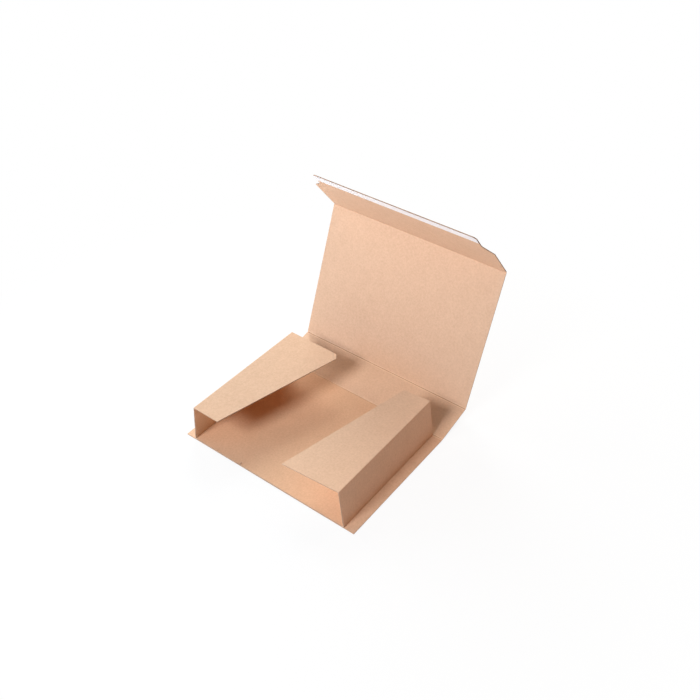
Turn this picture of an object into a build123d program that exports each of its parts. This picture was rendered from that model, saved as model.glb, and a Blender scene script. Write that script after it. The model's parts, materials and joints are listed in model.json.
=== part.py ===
"""Wraparound mailer of fluted kraft board, standing open, with its tray flaps folded in over the floor.

It is two blanks. The wrap runs from the base over the spine and the lid to the closing panel and its tongue.
The tray, a floor with two walls and a flap on each, is glued on the base.
Every panel is drawn on a plane with X along the crease that it hangs on, Y away from that crease and Z towards
the inside of the pack. The wrap's creases are lines on its inner faces, with the board's outer edges rounded.
The tray's creases are lines on its outer faces, with the board mitred inside them, so that its corners close.

Origin: centre of the base's underside. X across the pack, Y towards the spine, Z up. Millimetres and degrees.
"""

import os

from build123d import *

# Board, and the turn from its face to a square-cut end
board = 1.6
score_radius = 0.8
crease_gap = 0.1
square_end = 90.0

# What fits in the pack
inner_width = 330.0
inner_height = 75.2
base_depth = 270.0

# Wrap
bumper = 20.0
lid_clearance = 1.0
front_clearance = 3.5
tuck_clearance = 1.0
tongue_length = 60.0
shoulder_start = 4.5
shoulder_depth = 18.5
tongue_corner = 4.5

# Tray
tray_front_inset = 0.2
tray_back_gap = 1.0
flap_narrow = 56.0
flap_wide = 118.0
left_flap_corner = 11.0

# Glue, self-seal strip and its liner
glue_thickness = 0.1
glue_width = 14.0
glue_lines = 3
glue_margin = 18.0
adhesive_thickness = 0.2
adhesive_width = 15.0
adhesive_end_inset = 9.0
liner_thickness = 0.1
liner_width = 22.0

# How far each crease is bent as the pack stands open
spine_bend = 12.8
lid_bend = 59.1
closing_bend = 58.9
tongue_bend = 0.0
left_wall_bend = 93.3
right_wall_bend = 98.9
left_flap_bend = 86.9
right_flap_bend = 86.3

# How far the flaps bend in the closed pack
closed_flap_bend = 90.0

# Sizes that follow from the rest
tray_width = inner_width + 2 * board
wrap_width = tray_width + 2 * bumper
tray_level = board + glue_thickness
tray_depth = base_depth - tray_front_inset - tray_back_gap
tray_centre = (tray_front_inset - tray_back_gap) / 2
wall_height = inner_height + 2 * board
spine_length = glue_thickness + wall_height + lid_clearance
lid_length = base_depth + front_clearance
closing_length = spine_length + board + adhesive_thickness + liner_thickness + tuck_clearance
tongue_width = tray_width
shoulder_end = shoulder_start + shoulder_depth


def fold(panel: Plane, distance: float, bend: float) -> Plane:
    """The plane of the next panel, past a crease this far along the panel and bent towards the inside."""
    return Plane(panel.location * Pos(Y=distance) * Rot(X=bend))


def outer_creases(panel: Plane) -> ShapeList[Edge]:
    """The current part's edges along the crease on its outer face, from the panel's own crease outwards."""
    along = edges().filter_by(Axis(panel.origin, panel.x_dir))
    outer = along.group_by(Axis(panel.origin, panel.z_dir))[0]
    return outer.sort_by(Axis(panel.origin, panel.y_dir))


def mitre_near(panel: Plane, widest_bend: float) -> None:
    """Trims the current part at its own crease, so that it clears its neighbour up to the widest bend."""
    split(bisect_by=fold(panel, crease_gap, -square_end - widest_bend / 2), keep=Keep.TOP)


def mitre_far(panel: Plane, crease_at: float, widest_bend: float) -> None:
    """Trims the current part at a crease further along it, in the same way."""
    split(bisect_by=fold(panel, crease_at - crease_gap, square_end + widest_bend / 2), keep=Keep.TOP)


def strip_between_creases(width: float, length: float) -> None:
    """Draws a panel with a crease at both ends, each end kept clear of its crease line."""
    with Locations((0, length / 2)):
        Rectangle(width, length - 2 * crease_gap)


# Planes of the wrap, each on the inner face of its panel
base_plane = Plane.XY.offset(board)
spine_plane = fold(base_plane, base_depth / 2, spine_bend)
lid_plane = fold(spine_plane, spine_length, lid_bend)
closing_plane = fold(lid_plane, lid_length, closing_bend)
tongue_plane = fold(closing_plane, closing_length, tongue_bend)

# Planes of the tray's two sides on the outer faces, with Y outwards over the floor, up the wall and over the flap
left_floor_plane = Plane((0, tray_centre, tray_level), x_dir=(0, 1, 0), z_dir=(0, 0, 1))
left_wall_plane = fold(left_floor_plane, tray_width / 2, left_wall_bend)
left_flap_plane = fold(left_wall_plane, wall_height, left_flap_bend)
right_floor_plane = Plane((0, tray_centre, tray_level), x_dir=(0, -1, 0), z_dir=(0, 0, 1))
right_wall_plane = fold(right_floor_plane, tray_width / 2, right_wall_bend)
right_flap_plane = fold(right_wall_plane, wall_height, right_flap_bend)

# Base, wider than the tray so that its long edges stand out as bumpers
with BuildPart() as base_panel:
    with BuildSketch(base_plane):
        with Locations((0, -crease_gap / 2)):
            Rectangle(wrap_width, base_depth - crease_gap)
    extrude(amount=-board)
    fillet(outer_creases(base_plane)[-1], radius=score_radius)

# Spine, the back of the closed pack
with BuildPart() as spine_panel:
    with BuildSketch(spine_plane):
        strip_between_creases(wrap_width, spine_length)
    extrude(amount=-board)
    fillet(outer_creases(spine_plane), radius=score_radius)

# Lid
with BuildPart() as lid_panel:
    with BuildSketch(lid_plane):
        strip_between_creases(wrap_width, lid_length)
    extrude(amount=-board)
    fillet(outer_creases(lid_plane), radius=score_radius)

# Closing panel, the front of the closed pack
with BuildPart() as closing_panel:
    with BuildSketch(closing_plane):
        strip_between_creases(wrap_width, closing_length)
    extrude(amount=-board)
    fillet(outer_creases(closing_plane), radius=score_radius)

# Tongue, drawn in by sloping shoulders to the tray's width, that goes under the base
with BuildPart() as closing_tongue:
    with BuildSketch(tongue_plane):
        with BuildLine():
            Polyline(
                (-wrap_width / 2, crease_gap),
                (wrap_width / 2, crease_gap),
                (wrap_width / 2, shoulder_start),
                (tongue_width / 2, shoulder_end),
                (tongue_width / 2, tongue_length),
                (-tongue_width / 2, tongue_length),
                (-tongue_width / 2, shoulder_end),
                (-wrap_width / 2, shoulder_start),
                close=True,
            )
        make_face()
        chamfer(vertices().group_by(Axis.Y)[-1], length=tongue_corner)
    extrude(amount=-board)
    fillet(outer_creases(tongue_plane)[0], radius=score_radius)

# Self-seal strip along the middle of the liner's band
with BuildPart() as adhesive_strip:
    with BuildSketch(tongue_plane):
        with Locations((0, tongue_length - liner_width / 2)):
            Rectangle(tongue_width - 2 * adhesive_end_inset, adhesive_width)
    extrude(amount=adhesive_thickness)

# Liner over the strip, trimmed with the tongue's free end
with BuildPart() as release_liner:
    with BuildSketch(tongue_plane.offset(adhesive_thickness)):
        with Locations((0, tongue_length - liner_width / 2)):
            Rectangle(tongue_width, liner_width)
        chamfer(vertices().group_by(Axis.Y)[-1], length=tongue_corner)
    extrude(amount=liner_thickness)

# Glue lines on the base, and the tray's floor on them
with BuildPart() as tray_glue:
    with BuildSketch(base_plane):
        with Locations((0, tray_centre)):
            line_pitch = (inner_width - 2 * glue_margin - glue_width) / (glue_lines - 1)
            with GridLocations(line_pitch, 0, glue_lines, 1):
                Rectangle(glue_width, tray_depth - 2 * glue_margin)
    extrude(amount=glue_thickness)

with BuildPart() as tray_floor:
    with BuildSketch(left_floor_plane):
        Rectangle(tray_depth, tray_width)
    extrude(amount=board)
    mitre_far(left_floor_plane, tray_width / 2, left_wall_bend)
    mitre_far(right_floor_plane, tray_width / 2, right_wall_bend)

# Walls, leaning in a little over the floor
with BuildPart() as left_wall:
    with BuildSketch(left_wall_plane):
        Rectangle(tray_depth, wall_height, align=(Align.CENTER, Align.MIN))
    extrude(amount=board)
    mitre_near(left_wall_plane, left_wall_bend)
    mitre_far(left_wall_plane, wall_height, closed_flap_bend)

with BuildPart() as right_wall:
    with BuildSketch(right_wall_plane):
        Rectangle(tray_depth, wall_height, align=(Align.CENTER, Align.MIN))
    extrude(amount=board)
    mitre_near(right_wall_plane, right_wall_bend)
    mitre_far(right_wall_plane, wall_height, closed_flap_bend)


def draw_flap() -> None:
    """Draws a flap on its wall's top crease, with a free edge that slants from the narrow to the wide end."""
    Polygon(
        (-tray_depth / 2, 0),
        (tray_depth / 2, 0),
        (tray_depth / 2, flap_wide),
        (-tray_depth / 2, flap_narrow),
        align=None,
    )


# Flaps, wide at the spine on the left and wide at the front on the right
with BuildPart() as left_flap:
    with BuildSketch(left_flap_plane):
        draw_flap()
        chamfer(vertices().group_by(Axis.Y)[-1], length=left_flap_corner)
    extrude(amount=board)
    mitre_near(left_flap_plane, closed_flap_bend)

with BuildPart() as right_flap:
    with BuildSketch(right_flap_plane):
        draw_flap()
    extrude(amount=board)
    mitre_near(right_flap_plane, closed_flap_bend)

pieces = {
    "base_panel": base_panel,
    "spine_panel": spine_panel,
    "lid_panel": lid_panel,
    "closing_panel": closing_panel,
    "closing_tongue": closing_tongue,
    "adhesive_strip": adhesive_strip,
    "release_liner": release_liner,
    "tray_glue": tray_glue,
    "tray_floor": tray_floor,
    "left_wall": left_wall,
    "right_wall": right_wall,
    "left_flap": left_flap,
    "right_flap": right_flap,
}

os.makedirs("parts", exist_ok=True)
for name, piece in pieces.items():
    piece.part.label = name
    export_step(piece.part, f"parts/{name}.step")
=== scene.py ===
"""Looks of an open wraparound mailer: fluted kraft board, scored creases and a white release liner.

Both blanks are built panel by panel. A panel is modelled flat, with X along the crease that it hangs on, Y away from
that crease and Z towards the inside of the pack, and is then laid where the frame has it. Bent strips of board join
the panels across their creases. Metres and radians.
"""

import json
import logging
import math
from collections.abc import Callable
from dataclasses import dataclass, field
from enum import Enum

import bmesh
import bpy
from mathutils import Matrix, Vector

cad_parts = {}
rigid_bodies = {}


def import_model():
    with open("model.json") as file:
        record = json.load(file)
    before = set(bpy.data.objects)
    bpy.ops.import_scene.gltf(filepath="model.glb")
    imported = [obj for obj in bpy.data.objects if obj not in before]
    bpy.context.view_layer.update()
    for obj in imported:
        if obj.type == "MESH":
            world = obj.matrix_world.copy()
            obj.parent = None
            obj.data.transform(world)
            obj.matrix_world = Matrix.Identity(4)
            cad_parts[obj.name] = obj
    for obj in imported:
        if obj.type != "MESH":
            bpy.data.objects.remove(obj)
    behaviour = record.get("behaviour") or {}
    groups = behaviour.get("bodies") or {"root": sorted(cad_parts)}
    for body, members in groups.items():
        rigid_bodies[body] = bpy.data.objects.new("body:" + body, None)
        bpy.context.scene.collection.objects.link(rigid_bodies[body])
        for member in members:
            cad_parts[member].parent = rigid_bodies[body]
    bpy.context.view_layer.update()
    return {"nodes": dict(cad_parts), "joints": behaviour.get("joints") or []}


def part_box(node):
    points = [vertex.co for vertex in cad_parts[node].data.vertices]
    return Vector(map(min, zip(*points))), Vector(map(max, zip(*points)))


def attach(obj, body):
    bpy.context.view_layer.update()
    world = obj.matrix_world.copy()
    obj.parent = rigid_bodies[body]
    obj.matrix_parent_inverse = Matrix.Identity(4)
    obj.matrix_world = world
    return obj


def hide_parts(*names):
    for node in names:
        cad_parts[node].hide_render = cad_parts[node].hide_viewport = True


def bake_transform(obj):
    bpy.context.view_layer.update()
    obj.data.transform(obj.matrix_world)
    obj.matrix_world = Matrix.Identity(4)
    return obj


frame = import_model()

LOG = logging.getLogger("wraparound_mailer")
MM = 0.001
TINY = 1e-6
CENTRE = Vector((0.0, 0.0, 0.0))
OUTWARDS = Vector((0.0, 1.0, 0.0))
UP = Vector((0.0, 0.0, 1.0))

# A face looks along an axis where its normal has more than this share of it
FACING = 0.5

# Material slots of a piece of board, after the outer liner's
CUT_SLOT = 1
INNER_SLOT = 2

# Map in metres and attribute that the board's finish reads, and how far apart the map has the board's two faces; the
# attribute carries painted shade for a score's valley and a painted highlight for its bead
GRAIN_MAP = "board_grain"
CREASE_TONE = "crease_tone"
OTHER_PAPER = 0.6

# Trim of the tongue's free corners, and of the liner on them
TONGUE_CORNER = 4.5 * MM

Colour = tuple[float, float, float, float]
Triple = tuple[float, float, float]


class Tone:
    """A shader value for Python sums, each of which adds a Math node."""

    def __init__(self, graph: "Graph", socket: bpy.types.NodeSocket) -> None:
        """Wraps an output socket of a graph."""
        self.graph = graph
        self.socket = socket

    def _math(self, operation: str, first: "Tone | float", second: "Tone | float") -> "Tone":
        """The result of one Math node."""
        return self.graph.add("ShaderNodeMath", {"operation": operation}, {0: first, 1: second})

    def __add__(self, other: "Tone | float") -> "Tone":
        """Sum of two values."""
        return self._math("ADD", self, other)

    def __sub__(self, other: "Tone | float") -> "Tone":
        """Difference of two values."""
        return self._math("SUBTRACT", self, other)

    def __rsub__(self, other: float) -> "Tone":
        """Difference from a number."""
        return self._math("SUBTRACT", other, self)

    def __mul__(self, other: "Tone | float") -> "Tone":
        """Product of two values."""
        return self._math("MULTIPLY", self, other)

    __radd__ = __add__
    __rmul__ = __mul__

    def sine(self) -> "Tone":
        """Sine of the value."""
        return self._math("SINE", self, 0.0)

    def most(self, other: "Tone | float") -> "Tone":
        """The larger of two values."""
        return self._math("MAXIMUM", self, other)


class Graph:
    """Node graph of a material or of the world."""

    def __init__(self, owner: bpy.types.Material | bpy.types.World) -> None:
        """Empties the owner's graph.

        Args:
            owner: the material or world that the graph belongs to.
        """
        owner.use_nodes = True
        self.tree = owner.node_tree
        self.tree.nodes.clear()

    def add(
        self, kind: str, settings: dict | None = None, inputs: dict | None = None, out: int | str = 0
    ) -> Tone | None:
        """Adds a node, sets it up and feeds its sockets.

        Args:
            kind: the node's type.
            settings: properties of the node; stops are the places and colours of a ramp.
            inputs: values, or tones to link, by the socket's name or number.
            out: name or number of the output to return.

        Returns:
            The chosen output, or nothing where the node has none.
        """
        node = self.tree.nodes.new(kind)
        for key, value in (settings or {}).items():
            if key == "stops":
                self._stops(node.color_ramp, value)
            else:
                setattr(node, key, value)
        for key, value in (inputs or {}).items():
            if isinstance(value, Tone):
                self.tree.links.new(value.socket, node.inputs[key])
            else:
                node.inputs[key].default_value = value
        return Tone(self, node.outputs[out]) if len(node.outputs) else None

    @staticmethod
    def _stops(ramp: bpy.types.ColorRamp, stops: list[tuple[float, float]]) -> None:
        """Gives a ramp its stops, each a place and a grey level.

        Args:
            ramp: the ramp.
            stops: its stops, in order.
        """
        while len(ramp.elements) < len(stops):
            ramp.elements.new(1.0)
        for element, (place, grey) in zip(ramp.elements, stops):
            element.position = place
            element.color = (grey, grey, grey, 1.0)

    def noise(self, where: Tone, scale: float, detail: float, roughness: float = 0.5) -> Tone:
        """Noise from 0 to 1 over a coordinate, with this many cells to the metre."""
        values = {"Vector": where, "Scale": scale, "Detail": detail, "Roughness": roughness}
        return self.add("ShaderNodeTexNoise", {}, values, "Fac")

    def streaks(self, where: Tone, scale: Triple, detail: float, roughness: float = 0.5) -> Tone:
        """Noise whose cells have a different size each way."""
        stretched = self.add("ShaderNodeMapping", {}, {"Vector": where, "Scale": scale})
        return self.noise(stretched, 1.0, detail, roughness)

    @staticmethod
    def total(layers: tuple[Tone, ...], shares: tuple[float, ...]) -> Tone:
        """Sum of some layers, each with its share."""
        first, *rest = (layer * share for layer, share in zip(layers, shares))
        return sum(rest, first)

    def mix(self, share: Tone | float, first: Tone | Colour, second: Tone | Colour) -> Tone:
        """A colour between two colours."""
        return self.add("ShaderNodeMix", {"data_type": "RGBA"}, {0: share, 6: first, 7: second}, 2)

    def ramp(self, value: Tone, stops: list[tuple[float, float]]) -> Tone:
        """A value remapped over the stops of a grey ramp."""
        return self.add("ShaderNodeValToRGB", {"stops": stops}, {"Fac": value})

    def bump(self, height: Tone, depth: float, strength: float = 1.0) -> Tone:
        """A normal tilted by a height from 0 to 1, which stands for this depth in metres."""
        return self.add("ShaderNodeBump", {}, {"Height": height, "Distance": depth, "Strength": strength})

    def surface(self, shader: Tone) -> None:
        """Ends the graph in this shader."""
        output = "ShaderNodeOutputWorld" if self.tree.id_data.id_type == "WORLD" else "ShaderNodeOutputMaterial"
        self.add(output, {}, {"Surface": shader})

    def coat(self, colour: Tone, roughness: Tone | float, gloss: float, normal: Tone) -> None:
        """Ends the graph in a plain surface.

        Args:
            colour: its colour.
            roughness: its roughness.
            gloss: its specular level.
            normal: its tilted normal.
        """
        values = {"Base Color": colour, "Roughness": roughness, "Specular IOR Level": gloss, "Normal": normal}
        self.surface(self.add("ShaderNodeBsdfPrincipled", {}, values))


def rgb(red: float, green: float, blue: float) -> Colour:
    """An opaque linear colour."""
    return (red, green, blue, 1.0)


@dataclass(frozen=True)
class KraftLiner:
    """Unbleached kraft paper, the two faces of the board; scales are in cells to the metre.

    The tone's shares are of clouds, mottle, fibre and crossed fibre. The relief's are of fibre, crossed fibre, mottle
    and the flutes beneath.
    """

    flute_pitch: float
    name: str = "kraft_liner"
    pale: Colour = rgb(0.85, 0.58, 0.4)
    deep: Colour = rgb(0.645, 0.41, 0.26)
    # Colour of the dark flecks, also used as the painted shade in a score's valley
    fleck_and_crease_shade: Colour = rgb(0.42, 0.23, 0.12)
    # Colour of stretched paper, also used as the painted highlight on a score's bead
    worn_and_highlit: Colour = rgb(0.92, 0.67, 0.47)
    cloud_scale: float = 45.0
    mottle_scale: float = 270.0
    mottle_grit: float = 0.65
    fibre_scale: Triple = (2600.0, 320.0, 1.0)
    crossed_scale: Triple = (420.0, 2100.0, 1.0)
    fibre_grit: float = 0.6
    fleck_scale: Triple = (1500.0, 520.0, 1.0)
    fleck_edge: tuple[float, float] = (0.69, 0.78)
    tone_shares: tuple[float, ...] = (0.3, 1.2, 0.4, 0.35)
    tone_shift: float = 0.625
    fleck_share: float = 0.35
    # Shares of the painted highlight on a score's bead and the painted shade in its valley
    highlight_share: float = 0.9
    valley_shade_share: float = 0.5
    roughness: float = 0.81
    rough_fibre: float = 0.1
    gloss: float = 0.25
    relief_shares: tuple[float, ...] = (0.35, 0.25, 0.4, 0.12)
    relief: float = 0.06 * MM
    relief_strength: float = 0.6

    def make(self) -> bpy.types.Material:
        """The paper: clouds, fibres along the machine, dark flecks, and a trace of the flutes beneath; on the
        creases, painted shade in a score's valley and a painted highlight on its bead, partly crushed and stretched
        paper.

        Returns:
            The material.
        """
        material = bpy.data.materials.new(self.name)
        graph = Graph(material)
        solid = graph.add("ShaderNodeTexCoord", out="Object")
        grain = graph.add("ShaderNodeUVMap", {"uv_map": GRAIN_MAP})
        crease = graph.add("ShaderNodeAttribute", {"attribute_name": CREASE_TONE}, out="Fac")
        clouds = graph.noise(solid, self.cloud_scale, detail=3.0)
        mottle = graph.noise(solid, self.mottle_scale, detail=4.0, roughness=self.mottle_grit)
        fibre = graph.streaks(grain, self.fibre_scale, detail=3.0, roughness=self.fibre_grit)
        crossed = graph.streaks(grain, self.crossed_scale, detail=3.0, roughness=self.fibre_grit)
        spots = graph.streaks(grain, self.fleck_scale, detail=2.0)
        flecks = graph.ramp(spots, list(zip(self.fleck_edge, (0.0, 1.0))))
        tone = graph.total((clouds, mottle, fibre, crossed), self.tone_shares) - self.tone_shift
        paper = graph.mix(tone, self.deep, self.pale)
        flecked = graph.mix(flecks * self.fleck_share, paper, self.fleck_and_crease_shade)
        # Painted highlight on the raised bead and painted shade in the pressed valley of a score, partly stretched
        # and crushed paper
        raised = graph.mix(crease.most(0.0) * self.highlight_share, flecked, self.worn_and_highlit)
        pressed = graph.mix((0.0 - crease).most(0.0) * self.valley_shade_share, raised, self.fleck_and_crease_shade)
        across = graph.add("ShaderNodeSeparateXYZ", {}, {0: grain}, "Y")
        washboard = (across * (math.tau / self.flute_pitch)).sine()
        height = graph.total((fibre, crossed, mottle, washboard), self.relief_shares)
        roughness = fibre * self.rough_fibre + self.roughness
        graph.coat(pressed, roughness, self.gloss, graph.bump(height, self.relief, self.relief_strength))
        return material


@dataclass(frozen=True)
class InnerLinerShaded(KraftLiner):
    """The browner kraft paper on the tray's inner faces, which lie mostly in shade: partly another paper inside,
    partly painted shade that deepens the tray's interior.
    """

    name: str = "inner_liner"
    pale: Colour = rgb(0.885, 0.575, 0.365)
    deep: Colour = rgb(0.675, 0.405, 0.24)


@dataclass(frozen=True)
class FluteMedium:
    """Raw fluting paper between the liners, seen at the cut edges; scales are in cells to the metre.

    The relief's shares are of coarse and fine fibre.
    """

    name: str = "flute_medium"
    pale: Colour = rgb(0.66, 0.46, 0.33)
    deep: Colour = rgb(0.52, 0.34, 0.23)
    coarse_scale: float = 900.0
    coarse_grit: float = 0.65
    fine_scale: float = 3200.0
    contrast: float = 1.2
    tone_shift: float = 0.1
    roughness: float = 0.92
    gloss: float = 0.2
    relief_shares: tuple[float, ...] = (0.6, 0.4)
    relief: float = 0.08 * MM
    relief_strength: float = 0.7

    def make(self) -> bpy.types.Material:
        """The paper: coarse and pale where it is freshly cut, with short fibres.

        Returns:
            The material.
        """
        material = bpy.data.materials.new(self.name)
        graph = Graph(material)
        solid = graph.add("ShaderNodeTexCoord", out="Object")
        coarse = graph.noise(solid, self.coarse_scale, detail=4.0, roughness=self.coarse_grit)
        fine = graph.noise(solid, self.fine_scale, detail=2.0)
        colour = graph.mix(coarse * self.contrast - self.tone_shift, self.deep, self.pale)
        height = graph.total((coarse, fine), self.relief_shares)
        graph.coat(colour, self.roughness, self.gloss, graph.bump(height, self.relief, self.relief_strength))
        return material


@dataclass(frozen=True)
class ReleasePaper:
    """White silicone-coated paper of the release liner; scales are in cells to the metre.

    The tone's shares are of clouds and fibre.
    """

    name: str = "release_paper"
    pale: Colour = rgb(0.98, 0.98, 0.98)
    deep: Colour = rgb(0.94, 0.94, 0.94)
    cloud_scale: float = 160.0
    fibre_scale: float = 2400.0
    tone_shares: tuple[float, ...] = (0.7, 0.3)
    roughness: float = 0.55
    rough_cloud: float = 0.1
    gloss: float = 0.3
    relief: float = 0.01 * MM
    relief_strength: float = 0.5

    def make(self) -> bpy.types.Material:
        """The paper: smooth and satin, with a faint cloudiness.

        Returns:
            The material.
        """
        material = bpy.data.materials.new(self.name)
        graph = Graph(material)
        solid = graph.add("ShaderNodeTexCoord", out="Object")
        clouds = graph.noise(solid, self.cloud_scale, detail=3.0)
        fibre = graph.noise(solid, self.fibre_scale, detail=3.0)
        colour = graph.mix(graph.total((clouds, fibre), self.tone_shares), self.deep, self.pale)
        roughness = clouds * self.rough_cloud + self.roughness
        graph.coat(colour, roughness, self.gloss, graph.bump(fibre, self.relief, self.relief_strength))
        return material


@dataclass(frozen=True)
class HotMelt:
    """Hot-melt adhesive of the glue lines and the self-seal strip; scales are in cells to the metre."""

    name: str
    pale: Colour
    deep: Colour
    roughness: float
    streak_scale: Triple = (900.0, 120.0, 900.0)
    rough_streak: float = 0.2
    gloss: float = 0.5
    relief: float = 0.05 * MM
    relief_strength: float = 0.6

    def make(self) -> bpy.types.Material:
        """The adhesive: pale, uneven and a little tacky.

        Returns:
            The material.
        """
        material = bpy.data.materials.new(self.name)
        graph = Graph(material)
        solid = graph.add("ShaderNodeTexCoord", out="Object")
        streaks = graph.streaks(solid, self.streak_scale, detail=3.0)
        colour = graph.mix(streaks, self.deep, self.pale)
        roughness = streaks * self.rough_streak + self.roughness
        graph.coat(colour, roughness, self.gloss, graph.bump(streaks, self.relief, self.relief_strength))
        return material


class Bench:
    """Hand steps on one mesh, in edit mode while the bench is open."""

    def __init__(self, piece: bpy.types.Object) -> None:
        """Takes the mesh to work on."""
        self.piece = piece

    @staticmethod
    def choose(*pieces: bpy.types.Object) -> None:
        """Selects these objects alone, the first one active."""
        bpy.ops.object.select_all(action="DESELECT")
        for piece in pieces:
            piece.select_set(True)
        bpy.context.view_layer.objects.active = pieces[0]

    @classmethod
    def block(cls, name: str, low: Vector, high: Vector) -> "Bench":
        """A cube primitive drawn out between two corners.

        Args:
            name: name of the piece.
            low: lowest corner.
            high: highest corner.

        Returns:
            The bench with the block on it.
        """
        bpy.ops.object.select_all(action="DESELECT")
        bpy.ops.mesh.primitive_cube_add(size=1.0, calc_uvs=False)
        return cls._drawn_out(name, low, high)

    @classmethod
    def sheet(cls, name: str, low: Vector, high: Vector, columns: int, rows: int) -> "Bench":
        """A grid primitive drawn out between two corners of one level.

        Args:
            name: name of the piece.
            low: lowest corner.
            high: highest corner.
            columns: faces along X.
            rows: faces along Y.

        Returns:
            The bench with the sheet on it.
        """
        bpy.ops.object.select_all(action="DESELECT")
        bpy.ops.mesh.primitive_grid_add(x_subdivisions=columns, y_subdivisions=rows, size=1.0, calc_uvs=False)
        return cls._drawn_out(name, low, high)

    @classmethod
    def _drawn_out(cls, name: str, low: Vector, high: Vector) -> "Bench":
        """Names the new primitive, draws it out between two corners and applies that to the mesh.

        Args:
            name: name of the piece.
            low: lowest corner.
            high: highest corner.

        Returns:
            The bench with the piece on it.
        """
        piece = bpy.context.object
        piece.name = name
        piece.data.name = name
        piece.location = (low + high) / 2
        piece.scale = [max(size, TINY) for size in high - low]
        bpy.ops.object.transform_apply(location=True, rotation=True, scale=True)
        return cls(piece)

    def __enter__(self) -> "Bench":
        """Opens the mesh in edit mode.

        Returns:
            The open bench.
        """
        self.choose(self.piece)
        bpy.ops.object.mode_set(mode="EDIT")
        return self

    def __exit__(self, *_: object) -> None:
        """Closes edit mode."""
        bpy.ops.object.mode_set(mode="OBJECT")

    def _flush(self, mesh: bmesh.types.BMesh) -> None:
        """Hands a selection made in code to edit mode."""
        mesh.select_flush_mode()
        bmesh.update_edit_mesh(self.piece.data)

    def _open(self, kind: str) -> bmesh.types.BMesh:
        """The open mesh with nothing selected, in vertex, edge or face mode.

        Args:
            kind: VERT, EDGE or FACE.

        Returns:
            The open mesh.
        """
        bpy.ops.mesh.select_mode(type=kind)
        bpy.ops.mesh.select_all(action="DESELECT")
        return bmesh.from_edit_mesh(self.piece.data)

    def pick_vertices(self, test: Callable[[Vector], bool]) -> None:
        """Selects the vertices whose place passes a test.

        Args:
            test: the test of a place.
        """
        mesh = self._open("VERT")
        for vertex in mesh.verts:
            vertex.select_set(test(vertex.co))
        self._flush(mesh)

    def pick_edges(self, test: Callable[[Vector, Vector], bool]) -> None:
        """Selects the edges whose two ends pass a test.

        Args:
            test: the test of an edge's two places.
        """
        mesh = self._open("EDGE")
        for edge in mesh.edges:
            edge.select_set(test(edge.verts[0].co, edge.verts[1].co))
        self._flush(mesh)

    def pick_faces(self, test: Callable[[Vector, Vector], bool]) -> None:
        """Selects the faces whose centre and normal pass a test.

        Args:
            test: the test of a face's centre and normal.
        """
        mesh = self._open("FACE")
        for face in mesh.faces:
            face.select_set(test(face.calc_center_median(), face.normal))
        self._flush(mesh)

    def paint(self, slot: int, test: Callable[[Vector, Vector], bool]) -> None:
        """Selects the faces whose centre and normal pass a test, and gives them the material in a slot.

        Args:
            slot: number of the slot.
            test: the test of a face's centre and normal.
        """
        self.pick_faces(test)
        self.piece.active_material_index = slot
        bpy.ops.object.material_slot_assign()

    def pick_numbers(self, numbers: list[int]) -> None:
        """Selects vertices by their numbers.

        Args:
            numbers: the vertices' numbers.
        """
        mesh = self._open("VERT")
        mesh.verts.ensure_lookup_table()
        for number in numbers:
            mesh.verts[number].select_set(True)
        self._flush(mesh)

    def numbers_at(self, test: Callable[[Vector], bool]) -> list[int]:
        """Numbers of the vertices whose place passes a test.

        Args:
            test: the test of a place.

        Returns:
            The numbers.
        """
        mesh = bmesh.from_edit_mesh(self.piece.data)
        mesh.verts.index_update()
        return [vertex.index for vertex in mesh.verts if test(vertex.co)]

    def cut(self, point: Vector, normal: Vector, drop_outer: bool = False) -> None:
        """Cuts the whole mesh along a plane, and drops what lies beyond it if asked."""
        bpy.ops.mesh.select_all(action="SELECT")
        bpy.ops.mesh.bisect(plane_co=point, plane_no=normal, clear_outer=drop_outer, threshold=TINY)

    def move(self, x: float = 0.0, y: float = 0.0, z: float = 0.0) -> None:
        """Moves what is selected."""
        bpy.ops.transform.translate(value=(x, y, z))

    def widen(self, x: float) -> None:
        """Scales what is selected along X, from the middle of the mesh's own axes."""
        bpy.ops.transform.resize(value=(x, 1.0, 1.0), center_override=CENTRE)

    def taper(self, share: float, y: float) -> None:
        """Draws what is selected together along Y, towards this place."""
        bpy.ops.transform.resize(value=(1.0, share, 1.0), center_override=(0.0, y, 0.0))

    def turn(self, angle: float) -> None:
        """Turns what is selected about the X axis; with no window the operator turns the other way."""
        bpy.ops.transform.rotate(value=-angle, orient_axis="X", center_override=CENTRE)

    def apply(self, kind: str, **settings: object) -> None:
        """Adds a modifier to the closed mesh and applies it.

        Args:
            kind: the modifier's type.
            settings: its properties.
        """
        self.choose(self.piece)
        modifier = self.piece.modifiers.new(kind.lower(), kind)
        for key, value in settings.items():
            setattr(modifier, key, value)
        bpy.ops.object.modifier_apply(modifier=modifier.name)

    def lay(self, place: Matrix) -> None:
        """Lays the flat piece in its place and applies that to the mesh.

        Args:
            place: placing matrix of the piece's own frame.
        """
        self.choose(self.piece)
        self.piece.matrix_world = place
        bpy.ops.object.transform_apply(location=True, rotation=True, scale=True)


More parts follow.
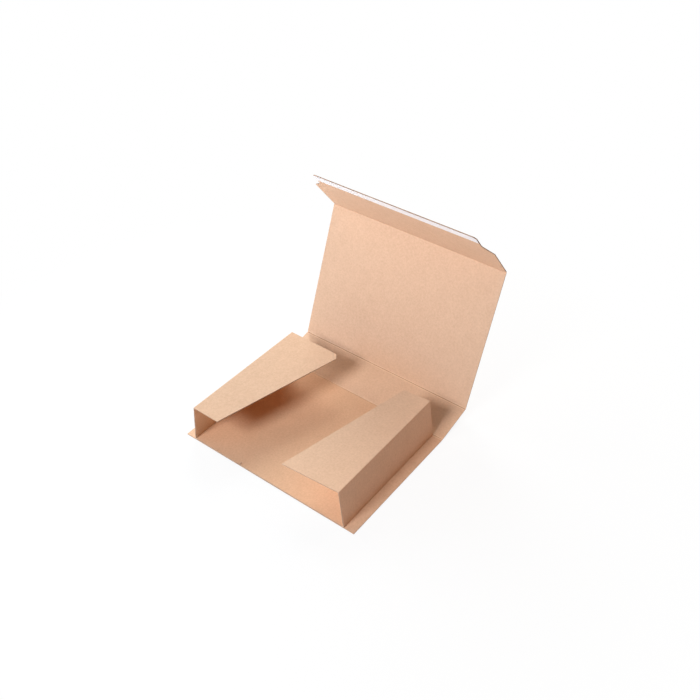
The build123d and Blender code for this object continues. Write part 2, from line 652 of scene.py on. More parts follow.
@dataclass(frozen=True)
class FoldPlane:
    """Where a panel lies: X along its crease, Y over the panel and Z towards the inside of the pack."""

    origin: Vector
    outward: Vector
    turned: float = 0.0

    @property
    def matrix(self) -> Matrix:
        """Placing matrix of the panel's own frame.

        Returns:
            The matrix.
        """
        along = self.outward.cross(UP)
        over = math.cos(self.turned) * self.outward + math.sin(self.turned) * UP
        inward = math.cos(self.turned) * UP - math.sin(self.turned) * self.outward
        place = Matrix((along, over, inward)).transposed().to_4x4()
        place.translation = self.origin
        return place

    def at(self, fold: "Fold") -> "FoldPlane":
        """This panel's own direction, taken from the crease of a fold on it."""
        return FoldPlane(fold.place, self.outward, self.turned)

    def past(self, fold: "Fold") -> "FoldPlane":
        """The plane of the next panel, past a fold."""
        return FoldPlane(fold.place, self.outward, self.turned + fold.bend)

    def reach(self, point: Vector) -> float:
        """How far a point lies along Y."""
        return (self.matrix.inverted() @ point).y

    def extent(self, node: str) -> tuple[Vector, Vector]:
        """Lowest and highest corner of a CAD node in this plane's frame.

        Args:
            node: the node's name.

        Returns:
            The two corners.
        """
        back = self.matrix.inverted()
        points = [back @ vertex.co for vertex in frame["nodes"][node].data.vertices]
        low = Vector(min(point[i] for point in points) for i in range(3))
        high = Vector(max(point[i] for point in points) for i in range(3))
        return low, high


@dataclass(frozen=True)
class Fold:
    """A crease of the frame: its joint, and how far it is bent as the pack stands."""

    name: str
    parent: str
    child: str
    place: Vector
    bend: float
    widest: float

    @classmethod
    def named(cls, name: str) -> "Fold":
        """The fold of a joint, which is flat at the joint's upper limit and closed at the lower one.

        Args:
            name: the joint's name.

        Returns:
            The fold.
        """
        joint = next(joint for joint in frame["joints"] if joint["name"] == name)
        low, high = (math.radians(limit) for limit in joint["range_deg"])
        return cls(name, joint["parent"], joint["child"], Vector(joint["pos_m"]), high, high - low)


@dataclass(frozen=True)
class BoardStock:
    """The board that both blanks are cut from."""

    thickness: float
    liner: float = 0.3 * MM
    medium: float = 0.24 * MM
    flute_pitch: float = 3.4 * MM
    flute_steps: int = 8
    groove: float = 1.8 * MM
    lip: float = 0.12 * MM
    setback: float = 4.0 * MM
    smooth_angle: float = math.radians(32.0)

    @property
    def flute_height(self) -> float:
        """Half the height that the middle of the medium swings through."""
        return (self.thickness - 2 * self.liner - self.medium) / 2


class Lie(Enum):
    """Which side of its crease lines a panel's board lies on."""

    OUTSIDE = -1
    INSIDE = 1

    def levels(self, thickness: float) -> tuple[float, float]:
        """Lowest and highest level of the board."""
        return (-thickness, 0.0) if self is Lie.OUTSIDE else (0.0, thickness)


@dataclass(frozen=True)
class Finishes:
    """The materials of the pack."""

    kraft: bpy.types.Material
    inner: bpy.types.Material
    medium: bpy.types.Material
    release: bpy.types.Material
    glue: bpy.types.Material
    seal: bpy.types.Material

    def board(self, piece: bpy.types.Object) -> None:
        """Gives a piece of board its slots: outer liner, cut edges and inner liner."""
        for material in (self.kraft, self.medium, self.inner):
            piece.data.materials.append(material)


def map_grain(piece: bpy.types.Object, grain_start: float, level: float) -> None:
    """Gives a flat piece a map in metres that runs on from panel to panel over its blank.

    Args:
        piece: the flat piece.
        grain_start: distance along the blank of the piece's own crease.
        level: middle level of the board; the face below it gets another stretch of paper.
    """
    mesh = piece.data
    grain = mesh.uv_layers.new(name=GRAIN_MAP)
    values = []
    for loop in mesh.loops:
        place = mesh.vertices[loop.vertex_index].co
        values += [place.x + (OTHER_PAPER if place.z < level else 0.0), place.y + grain_start]
    grain.data.foreach_set("uv", values)


def inside(point: Vector, outline: list[Vector]) -> bool:
    """Whether a point lies in an outline, seen from above.

    Args:
        point: the point.
        outline: corners of the outline, in order.

    Returns:
        True where it does.
    """
    found = False
    for a, b in zip(outline, outline[1:] + outline[:1]):
        if (a.y > point.y) != (b.y > point.y):
            crossing = a.x + (point.y - a.y) / (b.y - a.y) * (b.x - a.x)
            found ^= point.x < crossing
    return found


def distance(point: Vector, a: Vector, b: Vector) -> float:
    """Distance of a point from a stretch of line, seen from above.

    Args:
        point: the point.
        a: first end of the line.
        b: second end of the line.

    Returns:
        The distance.
    """
    run = b - a
    share = max(0.0, min(1.0, (point - a).dot(run) / run.length_squared))
    return (point - a - share * run).length


@dataclass
class Panel:
    """A flat panel of board, from the strip at its own crease to its far crease or free edge."""

    name: str
    body: str
    plane: FoldPlane
    stock: BoardStock
    lie: Lie
    half_width: float
    start: float
    stop: float
    grain_start: float
    start_is_cut: bool = False
    stop_is_cut: bool = False

    def shape(self, bench: Bench) -> None:
        """Shapes the open block to the panel's outline; a plain panel stays as it is."""

    def wear(self, piece: bpy.types.Object, finishes: Finishes) -> None:
        """Adds wear to the flat panel; a plain panel has none."""

    def is_crease(self, y: float) -> bool:
        """Whether an edge at this distance from the crease is joined to a crease strip.

        Args:
            y: the distance.

        Returns:
            True where it is.
        """
        at_start = abs(y - self.start) < TINY and not self.start_is_cut
        at_stop = abs(y - self.stop) < TINY and not self.stop_is_cut
        return at_start or at_stop

    def outline(self, bench: Bench) -> list[Vector]:
        """Corners of the shaped block's upper face, in order round it.

        Args:
            bench: the bench with the open block.

        Returns:
            The corners.
        """
        mesh = bmesh.from_edit_mesh(bench.piece.data)
        top = max(mesh.faces, key=lambda face: face.normal.z * face.calc_area())
        return [Vector((loop.vert.co.x, loop.vert.co.y)) for loop in top.loops]

    def build(self, finishes: Finishes) -> bpy.types.Object:
        """Models the panel, with its flutes at the cut edges, and fits it to the frame.

        Args:
            finishes: the materials.

        Returns:
            The finished piece.
        """
        low, high = self.lie.levels(self.stock.thickness)
        corner = Vector((-self.half_width, self.start, low))
        bench = Bench.block(f"{self.name}_board", corner, Vector((self.half_width, self.stop, high)))
        finishes.board(bench.piece)
        with bench:
            self.shape(bench)
            outline = self.outline(bench)
            if self.lie is Lie.INSIDE:
                bench.paint(INNER_SLOT, lambda _, normal: normal.z > FACING)
            self.groove(bench)
        self.wear(bench.piece, finishes)
        flutes = self.flutes(outline, (low + high) / 2)
        flutes.data.materials.append(finishes.medium)
        bench.choose(bench.piece, flutes)
        bpy.ops.object.join()
        map_grain(bench.piece, self.grain_start, (low + high) / 2)
        bpy.ops.object.shade_smooth_by_angle(angle=self.stock.smooth_angle)
        bench.lay(self.plane.matrix)
        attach(bench.piece, self.body)
        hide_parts(self.name)
        return bench.piece

    def groove(self, bench: Bench) -> None:
        """Opens the cut edges of the block between its two liners.

        Args:
            bench: the bench with the open block.
        """
        bench.paint(CUT_SLOT, lambda centre, normal: abs(normal.z) < FACING and not self.is_crease(centre.y))
        bpy.ops.mesh.inset(thickness=self.stock.liner, depth=0.0)
        bpy.ops.mesh.inset(thickness=0.0, depth=-self.stock.groove)

    def flutes(self, outline: list[Vector], level: float) -> bpy.types.Object:
        """Models the waved medium that shows in the open edges.

        Args:
            outline: corners of the panel.
            level: middle level of the board.

        Returns:
            The medium, as deep as the groove along each cut edge.
        """
        stock = self.stock
        length = self.stop - self.start
        rows = round(length / stock.flute_pitch * stock.flute_steps)
        step = length / rows
        corner = Vector((-self.half_width, self.start, level))
        bench = Bench.sheet(f"{self.name}_flutes", corner, Vector((self.half_width, self.stop, level)), 1, rows)
        edges = [
            (a, b)
            for a, b in zip(outline, outline[1:] + outline[:1])
            if not (abs(a.y - b.y) < TINY and self.is_crease(a.y))
        ]

        def outside_groove(centre: Vector, _: Vector) -> bool:
            """Whether a face of the medium lies past the edge or deeper than the groove.

            Args:
                centre: the face's centre.

            Returns:
                True where it does.
            """
            spot = centre.xy
            depth = min(distance(spot, a, b) for a, b in edges)
            return not inside(spot, outline) or not stock.lip < depth < stock.groove

        with bench:
            for phase in range(stock.flute_steps):
                swing = stock.flute_height * math.cos(math.tau * phase / stock.flute_steps)
                bench.pick_vertices(
                    lambda place: round((place.y - self.start) / step) % stock.flute_steps == phase
                )
                bench.move(z=swing)
            for a, b in edges:
                inward = Vector((a.y - b.y, b.x - a.x, 0.0)).normalized()
                for depth in (stock.lip, stock.groove):
                    bench.cut(a.to_3d() + inward * depth, inward)
            bench.pick_faces(outside_groove)
            bpy.ops.mesh.delete(type="FACE")
        bench.apply("SOLIDIFY", thickness=stock.medium, offset=0.0)
        return bench.piece


@dataclass(frozen=True)
class Nick:
    """A tear in the upper liner at the floor's front edge, which may leave a flake standing beside it.

    The tip is a share of the tear's width. The taper starts at a share of its length. The curl lifts the flake in
    steps, each up to a share of its width from the root and by a share of that width.
    """

    y: float
    length: float
    width: float
    depth: float = 0.7 * MM
    tip: float = 0.15
    flake: float = 0.0
    flake_inset: float = 0.3 * MM
    flake_thickness: float = 0.2 * MM
    flake_faces: tuple[int, int] = (6, 3)
    taper_start: float = 0.7
    taper: float = 0.4
    curl: tuple[tuple[float, float], ...] = ((0.8, 0.1), (0.5, 0.15), (0.2, 0.2))

    def tear(self, panel: bpy.types.Object, edge: float, top: float) -> None:
        """Cuts the tear out of the flat panel.

        Args:
            panel: the flat panel.
            edge: the panel's front edge along X.
            top: the panel's upper level.
        """
        low = Vector((edge - MM, self.y - self.width / 2, top - self.depth))
        cutter = Bench.block("nick_cutter", low, Vector((edge + self.length, self.y + self.width / 2, top + MM)))
        with cutter:
            cutter.pick_vertices(lambda place: place.x > edge)
            cutter.taper(self.tip, self.y)
        Bench(panel).apply("BOOLEAN", object=cutter.piece, operation="DIFFERENCE", solver="EXACT")
        bpy.data.objects.remove(cutter.piece)

    def stand_flake(self, edge: float, top: float, paper: bpy.types.Material) -> bpy.types.Object:
        """Models the flake of liner that stands up beside the tear.

        Args:
            edge: the panel's front edge along X.
            top: the panel's upper level.
            paper: its material.

        Returns:
            The flake.
        """
        root = self.y + self.width / 2
        low = Vector((edge + self.flake_inset, root, top))
        high = Vector((edge + self.length, root + self.flake, top))
        bench = Bench.sheet("nick_flake", low, high, *self.flake_faces)
        with bench:
            bench.pick_vertices(lambda place: place.x > edge + self.taper_start * self.length)
            bench.taper(self.taper, root + self.flake)
            for share, lift in self.curl:
                bench.pick_vertices(lambda place: place.y < root + share * self.flake)
                bench.move(z=lift * self.flake)
        bench.apply("SOLIDIFY", thickness=self.flake_thickness, offset=0.0)
        bench.piece.data.materials.append(paper)
        return bench.piece


@dataclass
class FloorPanel(Panel):
    """The tray's floor, nicked at its front edge."""

    nicks: tuple[Nick, ...] = ()

    def wear(self, piece: bpy.types.Object, finishes: Finishes) -> None:
        """Tears the nicks and stands their flakes up.

        Args:
            piece: the flat panel.
            finishes: the materials.
        """
        for nick in self.nicks:
            nick.tear(piece, -self.half_width, self.stock.thickness)
            if nick.flake:
                flake = nick.stand_flake(-self.half_width, self.stock.thickness, finishes.medium)
                Bench.choose(piece, flake)
                bpy.ops.object.join()


@dataclass
class TonguePanel(Panel):
    """The closing tongue, drawn in by sloping shoulders, with its free corners trimmed."""

    shoulder_start: float = 4.5 * MM
    shoulder_end: float = 23.0 * MM
    narrow_half_width: float = 166.6 * MM
    corner: float = TONGUE_CORNER

    def shape(self, bench: Bench) -> None:
        """Draws the block in past its shoulders and trims its free corners.

        Args:
            bench: the bench with the open block.
        """
        for y in (self.shoulder_start, self.shoulder_end):
            bench.cut(y * OUTWARDS, OUTWARDS)
        bench.pick_vertices(lambda place: place.y > self.shoulder_end - TINY)
        bench.widen(self.narrow_half_width / self.half_width)
        bpy.ops.mesh.select_all(action="SELECT")
        bpy.ops.mesh.dissolve_limited(angle_limit=TINY)
        bench.pick_edges(lambda a, b: min(a.y, b.y) > self.stop - TINY and abs(a.z - b.z) > TINY)
        bpy.ops.mesh.bevel(offset=self.corner, segments=1, affect="EDGES")


@dataclass
class FlapPanel(Panel):
    """A tray flap whose free edge slants from its narrow to its wide end."""

    narrow: float = 0.0
    corner: float = 0.0

    def shape(self, bench: Bench) -> None:
        """Pulls the narrow end back and trims the wide end's corner where it has one.

        Args:
            bench: the bench with the open block.
        """
        bench.pick_vertices(lambda place: place.x < 0.0 and place.y > self.stop - TINY)
        bench.move(y=self.narrow - self.stop)
        if self.corner:
            bench.pick_edges(lambda a, b: min(a.y, b.y) > self.stop - TINY and abs(a.z - b.z) > TINY)
            bpy.ops.mesh.bevel(offset=self.corner, segments=1, affect="EDGES")


@dataclass(frozen=True)
class CreaseRow:
    """One line along a crease strip: its distance from the crease, levels, share of the bend, and tone."""

    y: float
    inner: float
    outer: float
    share: float
    tone: float = 0.0


@dataclass
class Crease:
    """The strip of board that bends at a crease, between two panels."""

    fold: Fold
    plane: FoldPlane
    stock: BoardStock
    lie: Lie
    half_width: float
    grain_start: float
    reach: float = 1.9 * MM

    def rows(self) -> list[CreaseRow]:
        """The lines of the strip, flat, from the parent's panel to the child's."""
        raise NotImplementedError

    def build(self, finishes: Finishes) -> bpy.types.Object:
        """Models the strip flat, bends it row by row and lays it in place.

        Args:
            finishes: the materials.

        Returns:
            The finished piece.
        """
        low, high = self.lie.levels(self.stock.thickness)
        rows = self.rows()
        bench = Bench.block(
            f"{self.fold.name}_crease",
            Vector((-self.half_width, rows[0].y, low)),
            Vector((self.half_width, rows[-1].y, high)),
        )
        finishes.board(bench.piece)
        with bench:
            for row in rows[1:-1]:
                bench.cut(row.y * OUTWARDS, OUTWARDS)
            bench.paint(CUT_SLOT, lambda _, normal: abs(normal.x) > FACING)
            if self.lie is Lie.INSIDE:
                bench.paint(INNER_SLOT, lambda _, normal: normal.z > FACING)
            middle = (low + high) / 2
            found = [bench.numbers_at(lambda place, y=row.y: abs(place.y - y) < TINY) for row in rows]
            for row in rows:
                bench.pick_vertices(lambda place: abs(place.y - row.y) < TINY and place.z > middle)
                bench.move(z=row.inner)
                bench.pick_vertices(lambda place: abs(place.y - row.y) < TINY and place.z < middle)
                bench.move(z=row.outer)
        self.tone(bench.piece, rows, found)
        map_grain(bench.piece, self.grain_start, middle)
        with bench:
            for row, numbers in zip(rows, found):
                bench.pick_numbers(numbers)
                bench.turn(row.share * self.fold.bend)
        bench.choose(bench.piece)
        bpy.ops.object.shade_smooth_by_angle(angle=self.stock.smooth_angle)
        bench.lay(self.plane.matrix)
        start = self.plane.matrix @ Vector((0.0, -self.reach, middle))
        bent = self.plane.matrix @ Matrix.Rotation(self.fold.bend, 4, "X")
        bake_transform(bench.piece)
        return bench.piece

    @staticmethod
    def tone(piece: bpy.types.Object, rows: list[CreaseRow], found: list[list[int]]) -> None:
        """Marks pressed lines with tones below 0, for crushed paper and painted shade, and raised ones above it, for
        stretched paper and a painted highlight.

        Args:
            piece: the strip.
            rows: its lines.
            found: numbers of the vertices on each line.
        """
        tones = [0.0] * len(piece.data.vertices)
        for row, numbers in zip(rows, found):
            for number in numbers:
                tones[number] = row.tone
        attribute = piece.data.attributes.new(CREASE_TONE, "FLOAT", "POINT")
        attribute.data.foreach_set("value", tones)


@dataclass(frozen=True)
class ScoreLine:
    """One line of a score's profile: distance, shares of the valley, bead and flattening, and its tone, which below 0
    paints shade into the valley and above 0 a highlight onto the bead.
    """

    y: float
    valley: float = 0.0
    bead: float = 0.0
    flattened: float = 0.0
    tone: float = 0.0


@dataclass
class ScoredCrease(Crease):
    """A crease of the wrap: a valley pressed in the inner face, with a bead on each side of it."""

    valley: float = 0.5 * MM
    bead: float = 0.08 * MM
    flattened: float = 0.4 * MM
    faint_valley: float = 0.08 * MM
    faint_bead: float = 0.02 * MM
    # Strength of the painted shade in the valley and the painted highlight on the bead
    painted_shading: float = 1.0
    bend_reach: float = 1.3 * MM
    # Tones below 0 paint shade into the valley; tones above 0 paint a highlight onto the bead
    profile: tuple[ScoreLine, ...] = (
        ScoreLine(0.0, valley=1.0, flattened=1.0, tone=-1.0),
        ScoreLine(0.35 * MM, valley=1.0, flattened=0.95, tone=-0.8),
        ScoreLine(0.75 * MM, valley=0.55, flattened=0.75, tone=-0.3),
        ScoreLine(1.1 * MM, bead=0.5, flattened=0.5, tone=0.6),
        ScoreLine(1.45 * MM, bead=1.0, flattened=0.25, tone=1.0),
        ScoreLine(1.9 * MM, bead=0.4, flattened=0.1, tone=0.7),
        ScoreLine(2.5 * MM, tone=0.2),
    )

    def rows(self) -> list[CreaseRow]:
        """The lines of the strip: pressed in the middle, raised beside it and flat at its two ends."""
        half = [*self.profile, ScoreLine(self.stock.setback)]
        return [self.row(-line.y, line) for line in reversed(half[1:])] + [self.row(line.y, line) for line in half]

    def row(self, y: float, line: ScoreLine) -> CreaseRow:
        """A line of the profile, on one side of the crease."""
        inner = line.bead * self.bead - line.valley * self.valley
        return CreaseRow(y, inner, line.flattened * self.flattened, self.share(y), line.tone * self.painted_shading)

    def soften(self) -> None:
        """Leaves the score faint, as on a crease that has never been bent."""
        self.valley, self.bead, self.flattened = self.faint_valley, self.faint_bead, 0.0

    def share(self, y: float) -> float:
        """Share of the bend at this distance from the crease, easing in and out."""
        t = max(0.0, min(1.0, (y + self.bend_reach) / (2 * self.bend_reach)))
        return t * t * (3.0 - 2.0 * t)


@dataclass
class MitredCrease(Crease):
    """A crease of the tray: round outside, and closed inside where the liner is crushed into a V."""

    round_over: float = 1.0 * MM
    web: float = 0.55 * MM
    slit: float = 0.05 * MM
    round_step: float = math.radians(22.5)

    def rows(self) -> list[CreaseRow]:
        """The lines of the strip: a V on the inside, rounded on the outside about the crease.

        Returns:
            The lines, from the parent's panel to the child's.
        """
        thickness = self.stock.thickness
        mitre = thickness * math.tan(max(self.fold.bend, self.fold.widest) / 2) + self.slit
        sine, cosine = math.sin(self.round_step), math.cos(self.round_step)
        half = [
            (0.0, (math.sqrt(2.0) - 1.0) * self.round_over),
            ((1.0 - sine) * self.round_over, (1.0 - cosine) * self.round_over),
            (self.round_over, 0.0),
            (mitre, 0.0),
            (self.stock.setback, 0.0),
        ]
        rows = []
        for y, outer in half:
            crushed = max(0.0, 1.0 - y / mitre) * (self.web - thickness)
            rows.append((y, crushed, outer))
        lines = [(-y, inner, outer) for y, inner, outer in reversed(rows[1:])] + rows
        return [CreaseRow(y, inner, outer, 0.5 + 0.5 * ((y > 0.0) - (y < 0.0))) for y, inner, outer in lines]


@dataclass
class ReleaseLiner:
    """The white liner over the self-seal strip, trimmed with the tongue's free end."""

    plane: FoldPlane
    corner: float = TONGUE_CORNER
    columns: int = 160
    ripple: float = 0.03 * MM
    ripple_size: float = 40.0 * MM
    ripple_level: float = 0.25
    smooth_angle: float = math.radians(40.0)

    def build(self, finishes: Finishes) -> bpy.types.Object:
        """Models the liner as a thin sheet with a faint ripple.

        Args:
            finishes: the materials.

        Returns:
            The finished piece.
        """
        low, high = self.plane.extent("release_liner")
        rows = round(self.columns * (high.y - low.y) / (high.x - low.x))
        bench = Bench.sheet("release_liner_paper", low, Vector((high.x, high.y, low.z)), self.columns, rows)
        with bench:
            for side in (-1.0, 1.0):
                point = Vector((side * (high.x - self.corner), high.y, low.z))
                bench.cut(point, Vector((side, 1.0, 0.0)), drop_outer=True)
        clouds = bpy.data.textures.new("liner_ripple", "CLOUDS")
        clouds.noise_scale = self.ripple_size
        bench.apply("DISPLACE", texture=clouds, strength=self.ripple, mid_level=self.ripple_level, direction="Z")
        bench.apply("SOLIDIFY", thickness=high.z - low.z, offset=1.0)
        bench.piece.data.materials.append(finishes.release)
        bpy.ops.object.shade_smooth_by_angle(angle=self.smooth_angle)
        bench.lay(self.plane.matrix)
        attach(bench.piece, "tongue")
        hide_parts("release_liner")
        return bench.piece


@dataclass
class Wrap:
    """The outer blank: base, spine, lid, closing panel and tongue, on four creases, whose painted valley shade and
    bead highlight are set stronger on some than on others.
    """

    stock: BoardStock
    crease_shadings: tuple[float, ...] = (1.0, 1.0, 0.1, 0.05)
    pieces: list[bpy.types.Object] = field(default_factory=list)

    def build(self, finishes: Finishes) -> list[bpy.types.Object]:
        """Builds the blank from the base to the tongue, then its liner.

        Args:
            finishes: the materials.

        Returns:
            The pieces made.
        """
        stock = self.stock
        low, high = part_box("base_panel")
        half_width = (high.x - low.x) / 2
        plane = FoldPlane(stock.thickness * UP, OUTWARDS)
        folds = [Fold.named(f"{name}_fold") for name in ("spine", "lid", "closing", "tongue")]
        start, grain, cut = low.y, 0.0, True
        for name, body, fold, painted_shading in zip(
            ("base_panel", "spine_panel", "lid_panel", "closing_panel"),
            ("base", "spine", "lid", "closing_panel"),
            folds,
            self.crease_shadings,
        ):
            crease_at = plane.reach(fold.place)
            panel = Panel(
                name, body, plane, stock, Lie.OUTSIDE, half_width, start, crease_at - stock.setback, grain, cut
            )
            self.pieces.append(panel.build(finishes))
            grain += crease_at
            crease = ScoredCrease(fold, plane.at(fold), stock, Lie.OUTSIDE, half_width, grain, painted_shading=painted_shading)
            if abs(fold.bend) < TINY:
                crease.soften()
            self.pieces.append(crease.build(finishes))
            plane, start, cut = plane.past(fold), stock.setback, False
        free_end = plane.extent("closing_tongue")[1].y
        tongue = TonguePanel(
            "closing_tongue", "tongue", plane, stock, Lie.OUTSIDE, half_width, start, free_end, grain, False, True
        )
        self.pieces.append(tongue.build(finishes))
        self.pieces.append(ReleaseLiner(plane).build(finishes))
        return self.pieces


@dataclass
class Tray:
    """The inner blank: a floor glued on the base, with a wall and a flap on each side."""

    stock: BoardStock
    flap_narrow: float = 56.0 * MM
    flap_wide: float = 118.0 * MM
    left_flap_corner: float = 11.0 * MM
    grain_offset: float = 2.0
    nicks: tuple[Nick, ...] = (
        Nick(114.0 * MM, 6.0 * MM, 2.0 * MM),
        Nick(105.0 * MM, 2.2 * MM, 1.8 * MM),
        Nick(59.0 * MM, 6.0 * MM, 1.4 * MM, flake=2.2 * MM),
    )
    pieces: list[bpy.types.Object] = field(default_factory=list)

    def build(self, finishes: Finishes) -> list[bpy.types.Object]:
        """Builds the floor and then each side outwards from it.

        Args:
            finishes: the materials.

        Returns:
            The pieces made.
        """
        stock = self.stock
        low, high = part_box("tray_floor")
        half_width = (high.y - low.y) / 2
        centre = Vector((0.0, (low.y + high.y) / 2, low.z))
        floor_plane = FoldPlane(centre, Vector((-1.0, 0.0, 0.0)))
        half_floor = abs(Fold.named("left_wall_fold").place.x)
        edge = half_floor - stock.setback
        floor = FloorPanel(
            "tray_floor",
            "base",
            floor_plane,
            stock,
            Lie.INSIDE,
            half_width,
            -edge,
            edge,
            self.grain_offset,
            nicks=self.nicks,
        )
        self.pieces.append(floor.build(finishes))
        for side, outward, corner in (("left", -1.0, self.left_flap_corner), ("right", 1.0, 0.0)):
            self.build_side(side, FoldPlane(centre, Vector((outward, 0.0, 0.0))), half_width, corner, finishes)
        return self.pieces

    def build_side(
        self, side: str, floor: FoldPlane, half_width: float, corner: float, finishes: Finishes
    ) -> None:
        """Builds a wall, its flap and their two creases.

        Args:
            side: left or right.
            floor: the floor's plane, with Y out to this side.
            half_width: half the length of the creases.
            corner: trim of the flap's wide corner.
            finishes: the materials.
        """
        stock = self.stock
        foot = Fold.named(f"{side}_wall_fold")
        top = Fold.named(f"{side}_flap_fold")
        wall_plane = floor.past(foot)
        flap_plane = wall_plane.past(top)
        wall_height = wall_plane.reach(top.place)
        foot_grain = self.grain_offset + floor.reach(foot.place)
        top_grain = foot_grain + wall_height
        made = [
            MitredCrease(foot, floor.at(foot), stock, Lie.INSIDE, half_width, foot_grain),
            Panel(
                f"{side}_wall",
                f"{side}_wall",
                wall_plane,
                stock,
                Lie.INSIDE,
                half_width,
                stock.setback,
                wall_height - stock.setback,
                foot_grain,
            ),
            MitredCrease(top, wall_plane.at(top), stock, Lie.INSIDE, half_width, top_grain),
            FlapPanel(
                f"{side}_flap",
                f"{side}_flap",
                flap_plane,
                stock,
                Lie.INSIDE,
                half_width,
                stock.setback,
                self.flap_wide,
                top_grain,
                stop_is_cut=True,
                narrow=self.flap_narrow,
                corner=corner,
            ),
        ]
        self.pieces += [part.build(finishes) for part in made]


@dataclass(frozen=True)
class Softbox:
    """A square soft light that faces the pack."""

    name: str
    place: Triple
    size: float
    power: float
    colour: Triple
    aim: Triple = (0.0, 0.05, 0.08)

    def hang(self) -> bpy.types.Object:
        """Hangs the light and turns it to its aim.

        Returns:
            The light.
        """
        lamp = bpy.data.lights.new(self.name, "AREA")
        lamp.size = self.size
        lamp.energy = self.power
        lamp.color = self.colour
        light = bpy.data.objects.new(self.name, lamp)
        bpy.context.scene.collection.objects.link(light)
        light.location = self.place
        light.rotation_euler = (Vector(self.aim) - Vector(self.place)).to_track_quat("-Z", "Y").to_euler()
        return light


@dataclass(frozen=True)
class Viewpoint:
    """The camera's place, its heading from +Y, its tilt down from the horizon and its roll."""

    place: Triple = (0.71663, -0.90157, 1.15914)
    heading: float = math.radians(35.548)
    tilt: float = math.radians(39.618)
    roll: float = math.radians(1.596)
    lens: float = 46.22
    sensor: float = 36.0
    nearest: float = 0.01

    def set_up(self) -> None:
        """Adds the camera to the scene."""
        camera = bpy.data.cameras.new("camera")
        camera.lens = self.lens
        camera.sensor_width = self.sensor
        camera.clip_start = self.nearest
        stand = bpy.data.objects.new("camera", camera)
        bpy.context.scene.collection.objects.link(stand)
        upright = Matrix.Rotation(math.pi / 2 - self.tilt, 4, "X") @ Matrix.Rotation(self.roll, 4, "Z")
        stand.matrix_world = Matrix.Translation(self.place) @ Matrix.Rotation(self.heading, 4, "Z") @ upright
        bpy.context.scene.camera = stand


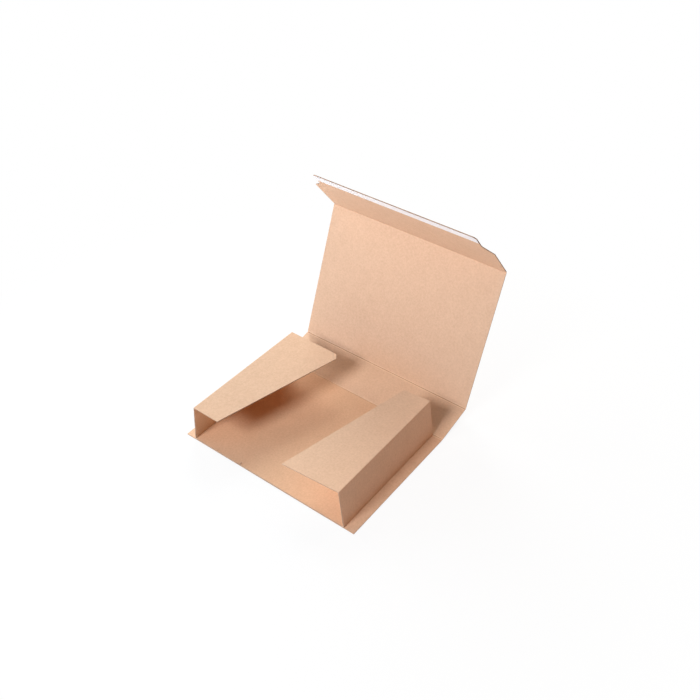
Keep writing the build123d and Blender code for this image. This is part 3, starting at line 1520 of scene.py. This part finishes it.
@dataclass
class Studio:
    """A white sweep under soft light, with the camera."""

    view: Viewpoint = field(default_factory=Viewpoint)
    ambient: Colour = rgb(0.01, 0.008, 0.006)
    white: Colour = rgb(1.0, 1.0, 1.0)
    floor_size: float = 24.0
    floor_albedo: float = 0.95
    shadow_share: float = 0.1
    shadow_core: float = 0.3
    shadow_reach: float = 0.8
    softboxes: tuple[Softbox, ...] = (
        Softbox("key", (-0.19, -1.7, 1.55), 0.7, 39.0, (0.99, 1.0, 1.05)),
        Softbox("side", (-1.65, 0.1, 0.85), 0.6, 10.5, (0.95, 1.02, 1.02)),
        Softbox("low", (-1.5, -0.9, 0.4), 0.6, 5.5, (0.72, 0.95, 1.35)),
        Softbox("fill", (1.6, 0.2, 0.28), 0.5, 1.0, (1.9, 0.85, 0.55)),
        Softbox("back", (0.4, 1.9, 1.3), 1.2, 16.5, (1.35, 0.96, 0.72)),
        Softbox("rear_side", (-1.0, 1.2, 1.35), 0.8, 21.0, (0.94, 1.03, 1.05)),
    )

    def build(self) -> None:
        """Sets up the floor, the sky, the lights and the camera."""
        self.floor()
        self.sky()
        for softbox in self.softboxes:
            softbox.hang()
        self.view.set_up()
        bpy.context.scene.view_settings.view_transform = "Standard"

    @staticmethod
    def seen(graph: Graph) -> Tone:
        """1 for rays that show the background, straight or through a gloss, and 0 for rays that light the pack.

        Args:
            graph: the graph that asks.

        Returns:
            The value.
        """
        kinds = ("Is Camera Ray", "Is Glossy Ray", "Is Transmission Ray")
        straight, glossy, clear = (graph.add("ShaderNodeLightPath", out=kind) for kind in kinds)
        return straight.most(glossy).most(clear)

    def floor(self) -> None:
        """Lays a pale floor that is white to the eye and keeps a faint shadow."""
        bpy.ops.object.select_all(action="DESELECT")
        bpy.ops.mesh.primitive_plane_add(size=self.floor_size, location=CENTRE)
        floor = bpy.context.object
        floor.name = "studio_floor"
        material = bpy.data.materials.new("studio_floor")
        graph = Graph(material)
        pale = rgb(self.floor_albedo, self.floor_albedo, self.floor_albedo)
        matt = graph.add("ShaderNodeBsdfDiffuse", {}, {"Color": pale})
        white = graph.add("ShaderNodeEmission", {}, {"Color": self.white, "Strength": 1.0})
        place = graph.add("ShaderNodeTexCoord", out="Object")
        far = graph.add("ShaderNodeVectorMath", {"operation": "LENGTH"}, {0: place}, "Value")
        shadow = graph.ramp(far * (1.0 / self.shadow_reach), [(self.shadow_core, self.shadow_share), (1.0, 0.0)])
        share = self.seen(graph) * (1.0 - shadow)
        graph.surface(graph.add("ShaderNodeMixShader", {}, {0: share, 1: matt, 2: white}))
        floor.data.materials.append(material)

    def sky(self) -> None:
        """Lights the pack evenly from all round, with white behind it."""
        world = bpy.data.worlds.new("studio_sky")
        bpy.context.scene.world = world
        graph = Graph(world)
        colour = graph.mix(self.seen(graph), self.ambient, self.white)
        graph.surface(graph.add("ShaderNodeBackground", {}, {"Color": colour, "Strength": 1.0}))


def dress_hidden(finishes: Finishes) -> None:
    """Gives the glue lines and the self-seal strip, which the board covers, their own finish.

    Args:
        finishes: the materials.
    """
    for node, finish in (("tray_glue", finishes.glue), ("adhesive_strip", finishes.seal)):
        materials = frame["nodes"][node].data.materials
        materials.clear()
        materials.append(finish)
        LOG.info("dressed %s", node)


def main() -> None:
    """Builds the pack and the studio, and reports each piece."""
    logging.basicConfig(level=logging.INFO, format="%(name)s: %(message)s")
    low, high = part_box("base_panel")
    stock = BoardStock(thickness=high.z - low.z)
    finishes = Finishes(
        KraftLiner(stock.flute_pitch).make(),
        InnerLinerShaded(stock.flute_pitch).make(),
        FluteMedium().make(),
        ReleasePaper().make(),
        HotMelt("glue_line", pale=rgb(0.8, 0.74, 0.58), deep=rgb(0.7, 0.62, 0.45), roughness=0.4).make(),
        HotMelt("seal_strip", pale=rgb(0.84, 0.82, 0.74), deep=rgb(0.76, 0.73, 0.62), roughness=0.3).make(),
    )
    for piece in Wrap(stock).build(finishes) + Tray(stock).build(finishes):
        LOG.info("built %s with %d faces", piece.name, len(piece.data.polygons))
    dress_hidden(finishes)
    Studio().build()


if __name__ == "__main__":
    main()
